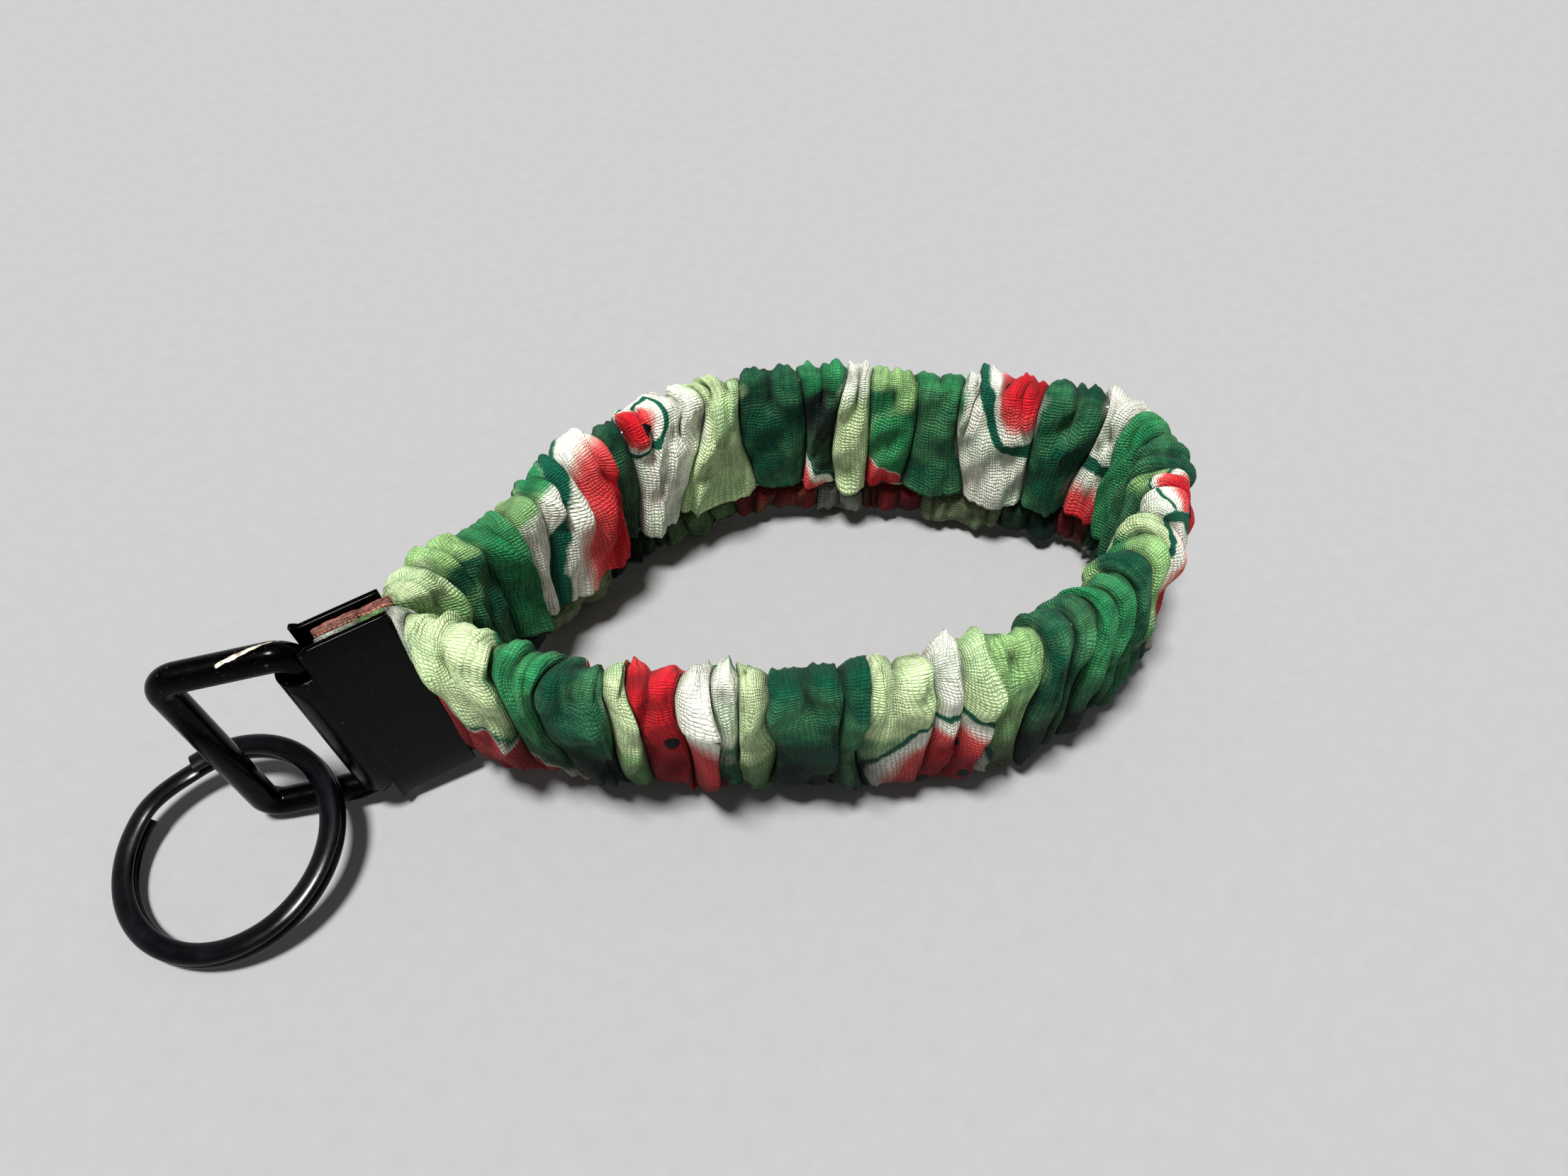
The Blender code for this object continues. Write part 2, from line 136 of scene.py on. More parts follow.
def wire_mesh(name, runs, diameter, closed=False, sides=6):
    """Round wires along lists of points, as one mesh."""
    data = bpy.data.curves.new(name, "CURVE")
    data.dimensions = "3D"
    data.bevel_depth = diameter / 2
    data.bevel_resolution = sides
    data.use_fill_caps = not closed
    for points in runs:
        line = data.splines.new("POLY")
        line.points.add(len(points) - 1)
        for place, point in zip(line.points, points):
            place.co = (*point, 1.0)
        line.use_cyclic_u = closed
    holder = bpy.data.objects.new(name, data)
    bpy.context.scene.collection.objects.link(holder)
    bpy.context.view_layer.update()
    graph = bpy.context.evaluated_depsgraph_get()
    mesh = bpy.data.meshes.new_from_object(holder.evaluated_get(graph))
    bpy.data.objects.remove(holder, do_unlink=True)
    shape = bmesh.new()
    shape.from_mesh(mesh)
    bmesh.ops.remove_doubles(shape, verts=shape.verts, dist=0.002 * MM)
    shape.to_mesh(mesh)
    shape.free()
    mesh.name = name
    return mesh


def dress(mesh, look):
    """Give a mesh one material and smooth shading."""
    mesh.materials.clear()
    mesh.materials.append(look)
    mesh.shade_smooth()


def smoothstep(value):
    """0 below 0, 1 above 1, and an S curve between."""
    value = np.clip(value, 0.0, 1.0)
    return value * value * (3 - 2 * value)


def waves(seed, count, low, high):
    """Parameters of a sum of cosine waves whose wavelengths lie between low and high per axis."""
    draw = np.random.default_rng(seed)
    turns = draw.uniform(-1, 1, (count, 2))
    sizes = draw.uniform(0.0, 1.0, (count, 2))
    lengths = np.array(low) * (np.array(high) / np.array(low)) ** sizes
    return np.sign(turns) * 2 * pi / lengths, draw.uniform(0, 2 * pi, count)


def ripple(places, x, y):
    """Smooth noise of about unit size at x, y."""
    rates, phases = places
    total = 0.0
    for (rate_x, rate_y), phase in zip(rates, phases):
        total = total + np.cos(rate_x * x + rate_y * y + phase)
    return total * (2.0 / len(phases)) ** 0.5


# ---------------------------------------------------------------- strap route

def catmull(p0, p1, p2, p3, t):
    """Point at t from 0 to 1 on the curve from p1 to p2 that p0 and p3 steer."""
    a = 2 * p1
    b = p2 - p0
    c = 2 * p0 - 5 * p1 + 4 * p2 - p3
    d = 3 * p1 - p0 - 3 * p2 + p3
    return (a + b * t + c * t * t + d * t * t * t) / 2


class Route:
    """The strap's middle line; s runs from the near end's front edge to the far end's."""

    def __init__(self):
        near = [(TAB_FRONT, -TAB_OFFSET, 0.0), (CLAMP_REAR, -TAB_OFFSET, 0.0)]
        far = [(CLAMP_REAR, TAB_OFFSET, 0.0), (TAB_FRONT, TAB_OFFSET, 0.0)]
        route = np.array(near + [tuple(v * MM for v in point) for point in STRAP_PLAN] + far)
        ends = np.vstack([2 * route[0] - route[1], route, 2 * route[-1] - route[-2]])
        dense = []
        for index in range(1, len(ends) - 2):
            for part in range(SPAN_PARTS):
                t = part / SPAN_PARTS
                if index in (1, len(ends) - 3):
                    dense.append(ends[index] * (1 - t) + ends[index + 1] * t)
                else:
                    dense.append(catmull(*ends[index - 1:index + 3], t))
        self.points = np.array(dense + [ends[-2]])
        steps = np.diff(self.points[:, :2], axis=0)
        spans = np.linalg.norm(steps, axis=1)
        self.lengths = np.concatenate([[0.0], np.cumsum(spans)])
        self.length = self.lengths[-1]
        self.tab = CLAMP_REAR - TAB_FRONT
        self.middles = (self.lengths[1:] + self.lengths[:-1]) / 2
        self.angles = np.unwrap(np.arctan2(steps[:, 1], steps[:, 0]))

    def travel(self, s):
        """Distance along the strap from the nearer tab's rear edge."""
        return np.minimum(s, self.length - s) - self.tab

    def place(self, s, side, up):
        """Row-frame points at s, side metres inside the loop and up metres above the middle."""
        x, y, lean = (np.interp(s, self.lengths, self.points[:, axis]) for axis in range(3))
        angle = np.interp(s, self.middles, self.angles)
        side = side - lean * up / STRAP_HEIGHT
        x = x - side * np.sin(angle)
        y = y + side * np.cos(angle)
        fade = smoothstep(self.travel(s) / LEAN_FADE)
        level = CLAMP_WIDTH / 2 + up
        leaning_x = x * cos(CLAMP_TILT) - level * sin(CLAMP_TILT)
        leaning_z = x * sin(CLAMP_TILT) + level * cos(CLAMP_TILT) + CLAMP_FRAME.translation.z
        upright_z = STRAP_HEIGHT / 2 + up
        place_x = leaning_x * (1 - fade) + x * fade + ROOT.x
        place_z = leaning_z * (1 - fade) + upright_z * fade
        return np.stack([place_x, y + ROOT.y, place_z], axis=-1)


# ---------------------------------------------------------------- sleeve

# The pleats, from the near end in the clamp round the loop to the far end: where each one ends
# along the strap, its height over the valleys, its boxiness, and its lean along the strap, then
# the print's ground colour: outer face top and bottom, inner face, and ruffle under the seam.
# The outer face's bottom colours, mostly darker than its top ones, are partly print and partly
# painted shade low on the face, where little light falls.
PLEATS = [
    (3.0, 1.2, 2.0, 0.0, "cr te cr te"), (6.2, 1.2, 2.0, 0.0, "lg rd cr cr"),
    (8.9, 2.1, 2.0, 0.25, "cr cr lg gr"), (14.2, 2.9, 2.5, 0.40, "pg lg gr te"),
    (18.0, 2.4, 2.4, 0.30, "gr te te lg"), (22.6, 2.4, 3.0, 0.40, "te dk te cr"),
    (24.9, 2.6, 2.5, 0.55, "pg lg cr pg"), (29.4, 2.0, 3.2, -0.20, "cr pg pg gr"),
    (31.9, 3.2, 2.7, 0.55, "cr lg gr te"), (34.6, 2.1, 2.5, 0.20, "cr gr te dk"),
    (37.6, 2.5, 2.5, -0.50, "pg lg te gr"), (42.9, 2.3, 3.4, 0.05, "te dk gr lg"),
    (45.4, 2.9, 2.6, 0.45, "te dk te pg"), (50.6, 2.3, 3.2, 0.30, "pg gr pg cr"),
    (53.4, 2.4, 2.7, 0.45, "cr lg cr lg"), (56.0, 3.0, 2.7, 0.55, "pg lg lg gr"),
    (61.4, 2.3, 3.2, 0.15, "lg br gr te"), (64.8, 2.7, 2.2, -0.40, "te dk te te"),
    (67.3, 2.2, 2.0, -0.45, "te te te gr"), (69.9, 2.6, 2.0, -0.45, "gr dk gr lg"),
    (72.6, 2.2, 2.0, -0.40, "gr te lg lg"), (75.4, 2.6, 2.0, -0.35, "te gr lg gr"),
    (78.3, 2.2, 2.1, -0.25, "lg gr gr te"), (81.4, 2.6, 2.1, 0.00, "pg lg gr cr"),
    (84.6, 2.3, 2.1, 0.15, "cr cr pg lg"), (88.2, 2.4, 2.2, 0.20, "lg gr te te"),
    (92.0, 2.6, 2.2, 0.25, "te gr te te"), (96.0, 2.4, 2.3, 0.30, "gr te gr te"),
    (100.6, 2.2, 2.4, 0.30, "cr pg cr rd"), (106.2, 2.3, 2.5, 0.20, "te gr te te"),
    (115.8, 2.7, 3.6, 0.20, "cr lg cr pg"), (120.6, 1.9, 2.4, -0.15, "gr te te rd"),
    (125.2, 1.6, 2.6, 0.25, "lg gr gr rd"), (128.8, 2.5, 2.8, -0.10, "cr pg pg cr"),
    (133.4, 2.2, 2.4, 0.35, "gr lg dk rd"), (139.4, 1.8, 2.8, -0.20, "te te te rd"),
    (146.6, 2.6, 3.2, 0.55, "pg lg pg lg"), (154.4, 2.8, 3.6, 0.45, "cr pg cr dk"),
    (157.8, 1.5, 2.2, -0.15, "te dk dk dk"), (168.4, 3.2, 3.4, -0.45, "gr lg cr pg"),
    (171.6, 1.8, 2.1, -0.35, "lg pg cr te"), (176.0, 2.6, 2.4, -0.35, "gr te gr te"),
    (180.4, 2.3, 2.3, -0.35, "lg gr te lg"), (185.1, 2.8, 2.4, -0.25, "pg lg lg gr"),
    (188.0, 1.2, 2.0, 0.0, "co te co te"), (191.2, 1.2, 2.0, 0.0, "co te co te"),
]
COLOURS = {
    "dk": (2, 30, 24), "te": (8, 74, 52), "gr": (40, 128, 78), "lg": (150, 192, 122),
    "pg": (204, 226, 168), "cr": (240, 240, 222), "rd": (200, 34, 44), "br": (120, 132, 92),
    "co": (244, 150, 138),
}
PINCH = 1.0 * MM                  # valleys' distance from the sleeve's skeleton
SKELETON = STRAP_HEIGHT / 2 - STRAP_THICKNESS / 2
SLEEVE_FLARE = 1.45               # thickness gained per length after the clamp
FLOOR_GAP = 0.05 * MM
DROOP = 0.45                      # how far pleats hang over the seam, per height
DROOP_REACH = 2.4 * MM

# Finer gathers that pleats split into on the sleeve's edges, and the share of the split there
PUCKER_WIDTH = 2.4 * MM
PUCKER_COLUMNS = 13
PUCKER_BOXINESS = 2.5
PUCKER_HEIGHT = 0.85
RIDGE_SPLIT = 0.85
BOTTOM_SPLIT = 0.55
RUFFLE_SPLIT = 0.6
MOST_SPLIT = 0.95

# Unevenness: share of a pleat's width, share of its height, lean, or mm
WANDER = 0.15
FOOT_SHIFT = 0.5
SWELL = 0.09
SOFTNESS = 0.11
LEAN_CHANGE = 0.12
CREASE, RIDGE_CREASE, FOOT_CREASE = 0.09, 0.12, 0.06

# Each set of waves: seed, number, shortest and longest wavelengths along and round the sleeve
WANDER_WAVES = (3, 14, (1.7, 22.0), (5.0, 80.0))
LEAN_WAVES = (5, 12, (4.0, 20.0), (14.0, 60.0))
CREASE_WAVES = (7, 30, (0.8, 9.0), (2.6, 60.0))
SOFT_WAVES = (9, 16, (3.0, 6.0), (9.0, 24.0))
SWELL_WAVES = (11, 16, (1.5, 14.0), (6.0, 60.0))
SPLIT_WAVES = (13, 16, (1.5, 8.0), (6.0, 30.0))
PUCKER_WAVES = (15, 16, (1.3, 8.0), (5.0, 30.0))
DRIFT_WAVES = (21, 18, (2.0, 6.0), (9.0, 40.0))
WASH_WAVES = (23, 18, (4.0, 4.0), (16.0, 16.0))

# Print's ground: share of a pleat at each side where it changes, and how far the watercolour runs,
# also across the border of the partly painted shade low on the outer face
PLATEAU = 0.10
DRIFT = 0.07
WASH = 1.6

# Painted shade, where a real strap gets little light: the share of the print's brightness that is
# left in the valleys and beside the seam, and the share that is lost low on the outer face
VALLEY_LIGHT, SEAM_LIGHT, LOW_LOSS = 0.34, 0.55, 0.74

# Arc positions round the tube, from the seam up the inner face and round
INNER_RISE = 2 * SKELETON - (SEAM_HEIGHT - STRAP_THICKNESS / 2)
EDGE_ARC = pi * STRAP_THICKNESS / 2
OUTER_START = INNER_RISE + EDGE_ARC
OUTER_END = OUTER_START + 2 * SKELETON
LOWER_START = OUTER_END + EDGE_ARC
AROUND = LOWER_START + SEAM_HEIGHT - STRAP_THICKNESS / 2


def around_rows():
    """Row positions round the tube, closer together beside the seam and on the edges."""
    bands = [(0.0, 3 * MM, 14), (3 * MM, INNER_RISE, 20), (INNER_RISE, OUTER_START, 24),
             (OUTER_START, OUTER_END, 30), (OUTER_END, LOWER_START, 22), (LOWER_START, AROUND, 12)]
    rows = [np.linspace(start, end, count, endpoint=False) for start, end, count in bands]
    return np.concatenate(rows + [[AROUND]])


def section_at(around):
    """Skeleton height and outward (side, up) direction at a place round the tube."""
    seam_up = SEAM_HEIGHT - STRAP_HEIGHT / 2
    up = np.where(around < INNER_RISE, seam_up + around, SKELETON)
    angle = np.clip((around - INNER_RISE) / (STRAP_THICKNESS / 2), 0.0, pi)
    up = np.where(around > OUTER_START, SKELETON - (around - OUTER_START), up)
    up = np.where(around > OUTER_END, -SKELETON, up)
    angle = angle + np.clip((around - OUTER_END) / (STRAP_THICKNESS / 2), 0.0, pi)
    up = np.where(around > LOWER_START, -SKELETON + (around - LOWER_START), up)
    return up, np.cos(angle), np.sin(angle)


def band(around, start, end, fade):
    """1 between start and end round the tube, falling to 0 over fade outside."""
    rise = smoothstep((around - start + fade) / fade)
    return rise * smoothstep((end + fade - around) / fade)


def lobe(turn, boxiness):
    """Superellipse arch over a unit width: place along it and height, for turn from 0 to 1."""
    angle = pi * turn
    power = 2.0 / boxiness
    along = 0.5 - 0.5 * np.sign(np.cos(angle)) * np.abs(np.cos(angle)) ** power
    return along, np.abs(np.sin(angle)) ** power


def pleat_edges(around):
    """Pleat boundaries along the strap, one row of boundaries for each place round the tube."""
    ends = np.array([0.0] + [pleat[0] for pleat in PLEATS]) * MM
    ends[-1] = ROUTE.length
    widths = np.diff(ends)
    room = np.concatenate([[0.0], np.minimum(widths[1:], widths[:-1]), [0.0]])
    number = np.arange(len(ends))
    wander = ripple(waves(*WANDER_WAVES), number[None, :], around[:, None] / MM)
    shift = FOOT_SHIFT * smoothstep((around - OUTER_END) / (4 * MM))
    following = np.concatenate([widths, [0.0]])
    following[0] = 0.0
    return ends + WANDER * room * wander + shift[:, None] * np.minimum(following, room)


def puckers(width):
    """Number of finer gathers that a pleat splits into on the sleeve's edges."""
    return max(1, round(width / PUCKER_WIDTH))


def pucker_share(around):
    """How far pleats split into puckers at each place round the tube, from 0 to 1."""
    share = band(around, INNER_RISE - 0.5 * MM, OUTER_START - 1 * MM, 4 * MM) * RIDGE_SPLIT
    share = share + band(around, OUTER_END + 1 * MM, LOWER_START, 4 * MM) * BOTTOM_SPLIT
    return np.clip(share + band(around, LOWER_START, AROUND, 3 * MM) * RUFFLE_SPLIT, 0.0, MOST_SPLIT)


def pleat_shape(index, width, boxiness, share, around):
    """Place along one pleat and height over it at each of its grid points, as shares."""
    parts = puckers(width)
    turn = np.arange(parts * PUCKER_COLUMNS) / (parts * PUCKER_COLUMNS)
    part = np.floor(parts * turn + 1e-9)
    row = around / MM
    along, arch = lobe(turn, boxiness)
    part_along, part_arch = lobe((parts * turn) % 1.0, PUCKER_BOXINESS)
    part_along = (part_along + part) / parts
    part_size = ripple(waves(*PUCKER_WAVES), 3.0 * index + part[None, :], row[:, None])
    part_arch = part_arch * np.clip(0.85 + 0.25 * part_size, 0.35, 1.3)
    uneven = np.clip(0.8 + 0.3 * ripple(waves(*SPLIT_WAVES), index, row), 0.25, 1.0)
    split = (share * uneven)[:, None]
    swell = np.clip(1.0 + SWELL * ripple(waves(*SWELL_WAVES), index + 0.5, row), 0.75, 1.2)
    place = along * (1 - split) + part_along * split
    high = swell[:, None] * (arch * (1 - split) + PUCKER_HEIGHT * part_arch * split)
    return turn, place, high


def sleeve_shape():
    """Place along the strap and height of each grid point, and each column's place in its pleat."""
    around = around_rows()
    edges = pleat_edges(around)
    share = pucker_share(around)
    starts = [0.0] + [pleat[0] * MM for pleat in PLEATS]
    columns_s, columns_h, columns_pleat = [], [], []
    for index, (end, height, boxiness, _, _) in enumerate(PLEATS):
        turn, place, high = pleat_shape(index, end * MM - starts[index], boxiness, share, around)
        width = (edges[:, index + 1] - edges[:, index])[:, None]
        columns_s.append(edges[:, index][:, None] + width * place)
        columns_h.append(height * MM * high)
        columns_pleat.append(index + turn)
    columns_s.append(edges[:, -1:])
    columns_h.append(np.zeros((len(around), 1)))
    columns_pleat.append([float(len(PLEATS))])
    s = np.concatenate(columns_s, axis=1)
    high = np.concatenate(columns_h, axis=1)
    return around, s, high, np.concatenate(columns_pleat)


def pressed_height(s, row, high):
    """Height over the valleys, pressed flat at the seam and lower at the edges, with creases."""
    seam_rise = smoothstep(row / (1.3 * MM))
    lower_rise = smoothstep((AROUND - row) / (1.6 * MM))
    edge = band(row, INNER_RISE + 2 * MM, OUTER_START - 2 * MM, 4 * MM)
    foot = band(row, OUTER_END + 1 * MM, AROUND, 4 * MM)
    ruffle = band(row, LOWER_START - 2 * MM, AROUND, 4 * MM)
    high = high * seam_rise * lower_rise * (1 - 0.32 * edge) * (1 - 0.24 * foot)
    high = high * (1 - 0.12 * ruffle)
    creases = ripple(waves(*CREASE_WAVES), s / MM, row / MM)
    soft = ripple(waves(*SOFT_WAVES), s / MM, row / MM)
    relief = np.clip(high / (1.6 * MM), 0.0, 1.0)
    tucks = CREASE + RIDGE_CREASE * edge + FOOT_CREASE * foot
    return high * (1 + SOFTNESS * soft) + relief * creases * tucks * MM


def open_to_light(row, high):
    """Painted shade at each grid point, as a share of the print's brightness."""
    light = VALLEY_LIGHT + (1 - VALLEY_LIGHT) * smoothstep(high / (1.5 * MM))
    light = light * (SEAM_LIGHT + (1 - SEAM_LIGHT) * smoothstep(row / (1.8 * MM)))
    outer_low = smoothstep((row - OUTER_START - 1 * MM) / (14 * MM))
    return light * (1 - LOW_LOSS * outer_low)


def shaped_sleeve():
    """Row-frame points of the sleeve, with leaning pleats, a pinched seam and pressed ends."""
    around, s, high, pleat = sleeve_shape()
    row = around[:, None]
    centres = np.array([0.0] + [p[0] for p in PLEATS])
    centres = (centres[1:] + centres[:-1]) / 2 * MM
    lean = np.interp(s, centres, [p[3] for p in PLEATS])
    lean = lean + LEAN_CHANGE * ripple(waves(*LEAN_WAVES), s / MM, row / MM)
    high = pressed_height(s, row, high)
    up, side_way, up_way = section_at(row)
    travel = np.maximum(0.0, ROUTE.travel(s))
    thickness = np.minimum(STRAP_THICKNESS, TAB_THICKNESS + SLEEVE_FLARE * travel)
    growth = (thickness - TAB_THICKNESS) / (STRAP_THICKNESS - TAB_THICKNESS)
    height = TAB_HEIGHT + (STRAP_HEIGHT - TAB_HEIGHT) * growth
    scale = thickness / STRAP_THICKNESS
    spine = (height / 2 - thickness / 2) / SKELETON
    droop = DROOP * high * np.exp(-(row / DROOP_REACH) ** 2) * growth
    out = (PINCH + high) * scale
    points = ROUTE.place(s + lean * high * scale, out * side_way, up * spine + out * up_way - droop)
    points[..., 2] = np.maximum(points[..., 2], FLOOR_GAP)
    return around, s, pleat, points, open_to_light(row, high)


def cloth_lengths(points):
    """Running length of cloth at each column, the mean of the outer and inner faces."""
    rows = around_rows()
    total = 0.0
    for place in (INNER_RISE * 0.6, (OUTER_START + OUTER_END) / 2):
        line = points[np.argmin(np.abs(rows - place))]
        spans = np.linalg.norm(np.diff(line, axis=0), axis=1)
        total = total + np.concatenate([[0.0], np.cumsum(spans)])
    return total / 2


def shaded_ground_colours(around, pleat):
    """Watercolour ground of the print at each vertex, as linear RGB (rows, columns, 3); the outer
    face's darker bottom colours are partly print and partly painted shade.
    """
    number = np.arange(len(PLEATS))[:, None]
    stops = (number + np.array([PLATEAU, 1 - PLATEAU])).ravel()
    row = around[:, None] / MM
    drift = DRIFT * ripple(waves(*DRIFT_WAVES), pleat[None, :] * 4.0, row)
    mixed = []
    for place in range(4):
        shades = [COLOURS[p[4].split()[place]] for p in PLEATS]
        table = np.repeat((np.array(shades) / 255.0) ** 2.2, 2, axis=0)
        channels = [np.interp(pleat[None, :] + drift, stops, table[:, i]) for i in range(3)]
        mixed.append(np.stack(channels, axis=-1))
    wash = WASH * ripple(waves(*WASH_WAVES), pleat[None, :] * 5.0, row)
    # Blend from the outer face's top colours to its darker bottom ones: partly print, partly painted
    # shade low on the face.
    outer_low = smoothstep(((row + wash) * MM - (OUTER_START + 5 * MM)) / (8 * MM))[..., None]
    below = smoothstep((row * MM - LOWER_START + 3 * MM) / (2 * MM))[..., None]
    outer = mixed[0] * (1 - outer_low) + mixed[1] * outer_low
    inner = mixed[2] * (1 - below) + mixed[3] * below
    over = smoothstep(((row + wash) * MM - INNER_RISE + 1 * MM) / (3 * MM))
    under = smoothstep((row * MM - OUTER_END - 2 * MM) / (4 * MM))
    outside = (over * (1 - under))[..., None]
    return inner * (1 - outside) + outer * outside


def grid_faces(rows, columns):
    """Quads of a grid of points, facing out of the tube."""
    first = (np.arange(rows - 1)[:, None] * columns + np.arange(columns - 1)[None, :]).ravel()
    return np.stack([first, first + columns, first + columns + 1, first + 1], axis=-1)


def make_sleeve():
    """The cloth as one sheet, open along its seam, that carries its own place, its ground colours
    and its painted shade.
    """
    around, s, pleat, points, light = shaped_sleeve()
    rows, columns = s.shape
    lengths = cloth_lengths(points)
    look = cotton_material(np.interp(np.arange(len(PLEATS) + 1), pleat, lengths))
    sleeve = add_mesh("sleeve_cloth", points.reshape(-1, 3).tolist(),
                      grid_faces(rows, columns).tolist(), "strap", look)
    cloth = np.zeros((rows, columns, 3))
    cloth[..., 0] = lengths[None, :] / MM
    cloth[..., 1] = around[:, None] / MM
    place = sleeve.data.attributes.new("cloth_place", "FLOAT_VECTOR", "POINT")
    place.data.foreach_set("vector", cloth.astype(np.float32).ravel())
    # The print's ground colours, partly painted shade low on the outer face
    dye_and_shade = np.ones((rows, columns, 4))
    dye_and_shade[..., :3] = shaded_ground_colours(around, pleat)
    ground = sleeve.data.attributes.new("ground", "FLOAT_COLOR", "POINT")
    ground.data.foreach_set("color", dye_and_shade.astype(np.float32).ravel())
    # Painted shade: the share of the print's brightness left at each point
    shade = sleeve.data.attributes.new("open_to_light", "FLOAT", "POINT")
    shade.data.foreach_set("value", light.astype(np.float32).ravel())
    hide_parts("fabric_sleeve")
    return sleeve


# ---------------------------------------------------------------- materials

class Graph:
    """Short calls for building a material's nodes."""

    def __init__(self, name):
        self.material = bpy.data.materials.new(name)
        self.material.use_nodes = True
        self.tree = self.material.node_tree
        self.shader = self.tree.nodes["Principled BSDF"]

    def node(self, kind, inputs=(), **settings):
        """A new node with values or links for its inputs."""
        made = self.tree.nodes.new(kind)
        for key, value in settings.items():
            setattr(made, key, value)
        for key, value in dict(inputs).items():
            self.feed(made.inputs[key], value)
        return made

    def feed(self, socket, value):
        """Link an output to the socket, or set the socket's value."""
        if isinstance(value, bpy.types.NodeSocket):
            self.tree.links.new(value, socket)
        else:
            socket.default_value = value

    def math(self, operation, first, second=0.0, third=0.0):
        made = self.node("ShaderNodeMath", operation=operation)
        for socket, value in zip(made.inputs, (first, second, third)):
            self.feed(socket, value)
        return made.outputs[0]

    def mix(self, factor, first, second, mode="MIX"):
        made = self.node("ShaderNodeMix", data_type="RGBA", blend_type=mode)
        self.feed(made.inputs["Factor"], factor)
        self.feed(made.inputs[6], first)
        self.feed(made.inputs[7], second)
        return made.outputs[2]

    def noise(self, place, scale, detail=3.0, roughness=0.55):
        return self.node("ShaderNodeTexNoise", {"Vector": place, "Scale": scale,
                                                "Detail": detail, "Roughness": roughness})

    def ramp(self, factor, stops):
        """Colour ramp; each stop is (position, colour or level)."""
        made = self.node("ShaderNodeValToRGB", {"Fac": factor})
        marks = made.color_ramp.elements
        while len(marks) < len(stops):
            marks.new(0.5)
        for mark, (position, shade) in zip(marks, stops):
            mark.position = position
            mark.color = shade if hasattr(shade, "__len__") else (shade, shade, shade, 1.0)
        return made.outputs["Color"]

    def bump(self, height, distance, strength=1.0, under=None):
        made = self.node("ShaderNodeBump", {"Height": height, "Distance": distance,
                                            "Strength": strength})
        if under:
            self.feed(made.inputs["Normal"], under)
        return made.outputs["Normal"]


def linear(red, green, blue):
    """Linear colour of an sRGB one given from 0 to 255."""
    return tuple((channel / 255.0) ** 2.2 for channel in (red, green, blue)) + (1.0,)


FAR_AWAY = 10.0                   # slice distance where a slice doesn't show

# Melon slices of the print: place along the strap, place round the sleeve, half-widths along the
# cloth and round it, turn in degrees, and the stretch of strap that a slice shows on, all in
# mm.  A deep pleat hides the rest of a slice that is cut short.
FINE_SLICES = [
    (27.0, 40.0, 15.5, 16.0, 0, 29.4, 37.6), (53.0, 42.0, 14.0, 14.0, 0, 45.4, 58.6),
    (85.0, 25.0, 6.5, 9.0, 0, 81.4, 88.2), (134.6, -2.0, 9.0, 8.5, 0, 128.8, 133.4),
    (44.0, 3.0, 12.0, 9.0, -15, 37.6, 50.6),
    (70.0, 7.0, 9.0, 8.0, 25, 64.8, 75.4), (112.0, 34.0, 12.0, 10.0, 12, 100.6, 120.6),
    (141.0, 40.0, 11.0, 10.0, -20, 133.4, 146.6),
]
BOLD_SLICES = [
    (157.2, 2.5, 15.8, 25.0, -4, 157.8, 168.4), (107.2, 20.0, 10.5, 11.5, 0, 106.2, 115.8),
    (98.5, -4.5, 12.0, 14.0, 4, 96.0, 100.6), (153.6, 17.5, 4.2, 6.0, 0, 146.6, 154.4),
    (165.0, 31.0, 11.0, 9.0, 35, 157.8, 176.0), (93.0, 45.0, 9.0, 8.0, 0, 84.6, 100.6),
    (81.0, 31.0, 6.0, 11.0, 0, 78.3, 84.6),
]
FLESH_PATCHES = [
    (1.8, 57.2, 30.0, 30.0, 0, 6.2, 18.6), (26.0, 37.0, 20.0, 28.0, 0, 24.9, 29.4),
    (124.0, -1.0, 6.0, 6.5, 0, 120.6, 125.2), (20.0, 6.0, 10.0, 8.0, 10, 14.2, 26.0),
]


# Each printed list with the shares of a slice's radius that are white and rind
PRINTS = [(FLESH_PATCHES, 0.015, 0.01), (FINE_SLICES, 0.17, 0.05), (BOLD_SLICES, 0.24, 0.13)]


def slice_distance(graph, place, edges, slices):
    """Distance from the nearest melon slice's middle, 1 on its rind."""
    nearest = FAR_AWAY
    bounds = [0.0] + [pleat[0] for pleat in PLEATS]
    axes = graph.node("ShaderNodeSeparateXYZ", {0: place})
    for s, around, half_along, half_around, turn, first, last in slices:
        along, low, high = np.interp([s, first, last], bounds, edges / MM).tolist()
        local = graph.node("ShaderNodeMapping", {
            "Vector": place, "Location": (along, around, 0.0), "Rotation": (0, 0, radians(turn)),
            "Scale": (half_along, half_around, 1.0)}, vector_type="TEXTURE")
        reach = graph.node("ShaderNodeVectorMath", {0: local.outputs[0]}, operation="LENGTH")
        shown = graph.math("COMPARE", axes.outputs[0], (low + high) / 2, (high - low) / 2)
        hidden = graph.math("MULTIPLY_ADD", shown, -FAR_AWAY, FAR_AWAY)
        reach = graph.math("ADD", reach.outputs["Value"], hidden)
        nearest = graph.math("MINIMUM", nearest, reach)
    return nearest


